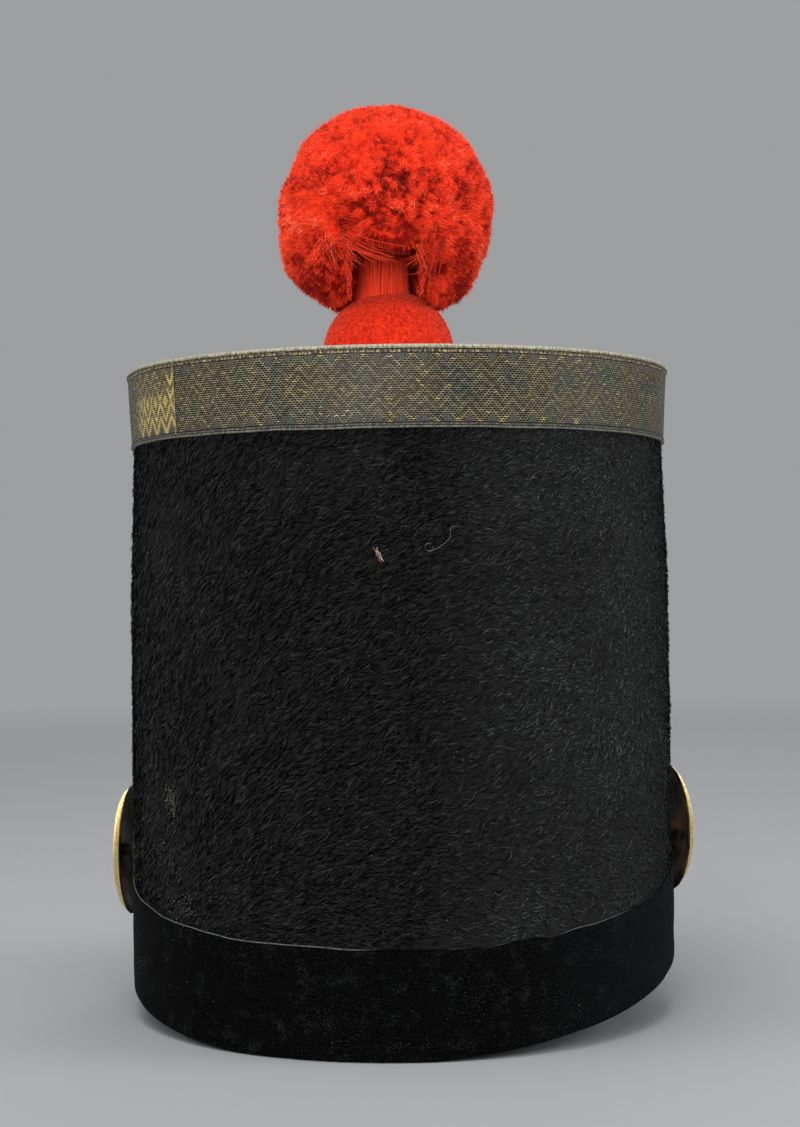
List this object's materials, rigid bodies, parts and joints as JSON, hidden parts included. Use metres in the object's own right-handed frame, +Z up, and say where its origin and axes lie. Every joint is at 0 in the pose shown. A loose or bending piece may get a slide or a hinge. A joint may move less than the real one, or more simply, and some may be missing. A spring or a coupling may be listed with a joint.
{
  "type": "shako hat",
  "caption": "Tall felt shako with lace round the top, velvet band, leather peak, chin strap on brass bosses and a red double pompon.",
  "frame": {"origin": "on the floor, under the middle of the hat's overall box", "axes": "+Z up; the wearer faces +Y, over the peak; +X is the wearer's right"},
  "size_m": [0.1911, 0.2496, 0.3192],
  "materials": {
    "felt": "black felt with a long brushed nap",
    "velvet": "black velvet",
    "lace": "tarnished metal-thread lace",
    "leather": "black polished leather",
    "gilt_brass": "worn gilding",
    "wool": "clipped scarlet wool",
    "wire": "plain iron wire"
  },
  "bodies": {
    "root": {"crown_wall": "felt", "crown_top": "leather", "top_lace": "lace", "velvet_band": "velvet", "peak": "leather", "boss_left": "gilt_brass", "boss_right": "gilt_brass", "strap_long": "leather", "strap_short": "leather", "strap_buckle": "gilt_brass", "pompon_ball_upper": "wool", "pompon_ball_lower": "wool", "pompon_neck": "wool", "pompon_post": "wire", "pompon_pocket": "leather"}
  },
  "joints": []
}
